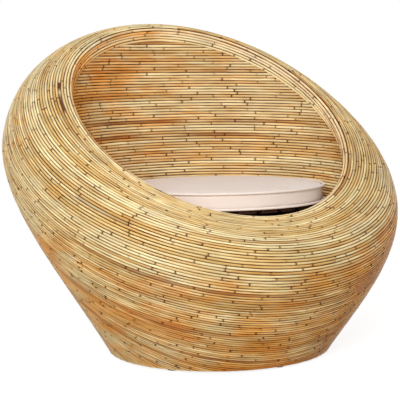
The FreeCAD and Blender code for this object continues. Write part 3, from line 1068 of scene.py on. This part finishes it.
def swell(mesh):
    """Fills the cover by simulating its cloth, and lets no point move further than the cap."""
    cover = link("cushion_form", mesh)
    remesh = cover.modifiers.new("even", "REMESH")
    remesh.mode = "VOXEL"
    remesh.voxel_size = voxel
    even = evaluated_mesh(cover)
    cover.modifiers.clear()
    cover.data = even
    before = points_of(even)
    cloth = cover.modifiers.new("cloth", "CLOTH").settings
    cloth.quality = 5
    cloth.mass = 0.3
    cloth.tension_stiffness = 40
    cloth.compression_stiffness = 40
    cloth.shear_stiffness = 20
    cloth.bending_stiffness = 1.5
    cloth.use_pressure = True
    cloth.uniform_pressure_force = fill_pressure
    cloth.effector_weights.gravity = 0.0
    for step in range(1, fill_frames + 1):
        bpy.context.scene.frame_set(step)
    view = bpy.context.evaluated_depsgraph_get()
    after = points_of(cover.evaluated_get(view).to_mesh())
    cover.evaluated_get(view).to_mesh_clear()
    cover.modifiers.clear()
    bpy.context.scene.frame_set(1)
    move = after - before
    far = np.linalg.norm(move, axis=1)
    move *= np.minimum(1.0, fill_cap / np.maximum(far, 1e-9))[:, None]
    even.vertices.foreach_set("co", (before + move).ravel())
    smoother = cover.modifiers.new("round", "SUBSURF")
    smoother.levels = 1
    smoother.render_levels = 1
    done = evaluated_mesh(cover)
    bpy.data.objects.remove(cover)
    return done


def draw_in(mesh, seams):
    """Rests the cover on its flat underside, and draws it in along the seams."""
    points = points_of(mesh)
    points[:, 2] = np.maximum(points[:, 2], cover_low)
    reach = np.hypot(points[:, 0], points[:, 1] - cushion_y)
    for z in seams:
        away = np.hypot(reach - (cushion_radius - piping_radius), points[:, 2] - z)
        drawn = seam_dent * np.clip(1.0 - away / seam_reach, 0.0, 1.0)
        points[:, 0] -= drawn * points[:, 0] / reach
        points[:, 1] -= drawn * (points[:, 1] - cushion_y) / reach
    mesh.vertices.foreach_set("co", points.ravel())


def piping_mesh(name, z):
    """A round cord of cloth along the seam."""
    turns = np.arange(piping_points) * full_turn / piping_points
    reach = cushion_radius - piping_radius
    facings = np.stack([np.cos(turns), np.sin(turns), np.zeros(piping_points)], axis=-1)
    points = facings * reach + np.array([0.0, cushion_y, z])
    run = CaneRun()
    run.add(points, facings, along=turns * reach)
    run.edges.append((piping_points - 1, 0))
    mesh = tubes(name, run, piping_radius, piping_sides, piping_finish)
    map_cloth(mesh, reach, True)
    return mesh


def dress_cushion():
    seams = (cushion_high - piping_radius, cushion_low + piping_radius)
    form = cushion_shell(cushion_radius - form_inset, cushion_low + form_shrink, cushion_high - form_shrink,
                         form_crown)
    mesh = swell(form)
    draw_in(mesh, seams)
    for face in mesh.polygons:
        face.use_smooth = True
    map_cloth(mesh, cushion_radius, False)
    mesh.materials.clear()
    mesh.materials.append(cloth_finish)
    mesh.name = "cushion_cover"
    cover = piece("cushion_cover", mesh, "cushion", "cushion_cloth", "cushion_top_panel", "cushion_side_band",
                  "cushion_bottom_panel", "cushion_foam")
    for name, z, node in (("piping_high", seams[0], "cushion_piping_top"),
                          ("piping_low", seams[1], "cushion_piping_bottom")):
        piece(name, piping_mesh(name, z), "cushion", "piping_cloth", node)


dress_cushion()


# Floor, light and camera

def build_floor():
    """A pale floor that shows white, but not in the hollow under the chair, where no light gets in."""
    mesh = bpy.data.meshes.new("floor")
    reach = 12.0
    mesh.from_pydata([(-reach, -reach, 0), (reach, -reach, 0), (reach, reach, 0), (-reach, reach, 0)],
                     [], [(0, 1, 2, 3)])
    material = bpy.data.materials.new("pale_floor")
    shader = principled(material)
    shader.inputs["Base Color"].default_value = (floor_tone, floor_tone, floor_tone, 1.0)
    shader.inputs["Roughness"].default_value = 0.9
    shader.inputs["Specular IOR Level"].default_value = 0.0
    shader.inputs["Emission Color"].default_value = (1.0, 1.0, 1.0, 1.0)
    nodes = Nodes(material.node_tree)
    away = nodes.add("ShaderNodeVectorMath", {"operation": "DISTANCE"})
    nodes.feed(away, 0, nodes.here())
    nodes.feed(away, 1, (0.0, -middle_y, 0.0))
    beyond = nodes.math("GREATER_THAN", away.outputs["Value"], hollow_radius)
    glow = nodes.times(nodes.seen_or_mirrored(), floor_glow)
    nodes.feed(shader, "Emission Strength", nodes.times(glow, beyond))
    mesh.materials.append(material)
    link("floor", mesh)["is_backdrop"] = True


def build_world():
    world = bpy.data.worlds.new("studio")
    bpy.context.scene.world = world
    world.use_nodes = True
    world.node_tree.nodes.clear()
    nodes = Nodes(world.node_tree)
    room = nodes.add("ShaderNodeBackground", Color=(1.0, 0.985, 0.965, 1.0), Strength=room_light)
    backdrop = nodes.add("ShaderNodeBackground", Color=(1.0, 1.0, 1.0, 1.0), Strength=1.0)
    chosen = nodes.add("ShaderNodeMixShader")
    for slot, entry in enumerate((nodes.seen_or_mirrored(), room.outputs[0], backdrop.outputs[0])):
        nodes.feed(chosen, slot, entry)
    nodes.add("ShaderNodeOutputWorld", Surface=chosen.outputs[0])


def softbox(name, power, size, place, target):
    lamp = bpy.data.lights.new(name, "AREA")
    lamp.energy = power
    lamp.shape = "RECTANGLE"
    lamp.size, lamp.size_y = size
    holder = link(name, lamp)
    holder.location = place
    holder.rotation_euler = (Vector(target) - Vector(place)).to_track_quat("-Z", "Y").to_euler()


def build_camera():
    """The photograph's view, found from the rim, the outline and the cushion."""
    distance = 2.9833
    height = 0.66378
    azimuth = rad(-27.982)
    heading = rad(-27.1636)
    pitch = rad(-5.3664)
    roll = rad(-0.9769)
    place = Vector((math.sin(azimuth) * distance, -math.cos(azimuth) * distance - middle_y, height))
    level = math.cos(pitch)
    forward = Vector((-math.sin(heading) * level, math.cos(heading) * level, math.sin(pitch)))
    right = Vector((math.cos(heading), math.sin(heading), 0.0))
    up = right.cross(forward)
    turned_right = right * math.cos(roll) + up * math.sin(roll)
    turned_up = up * math.cos(roll) - right * math.sin(roll)
    data = bpy.data.cameras.new("photo_view")
    data.sensor_width = 36.0
    data.lens = 105.922
    data.clip_end = 60.0
    camera = link("photo_view", data)
    turn = Matrix((turned_right, turned_up, -forward)).transposed()
    camera.matrix_world = Matrix.Translation(place) @ turn.to_4x4()
    bpy.context.scene.camera = camera


build_floor()
build_world()
for lamp in lamps:
    softbox(*lamp)
build_camera()
bpy.context.scene.view_settings.view_transform = "Standard"

boxes = {"cad": cad_box, "visual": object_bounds()}
{name: [list(corner) for corner in box] for name, box in boxes.items()}
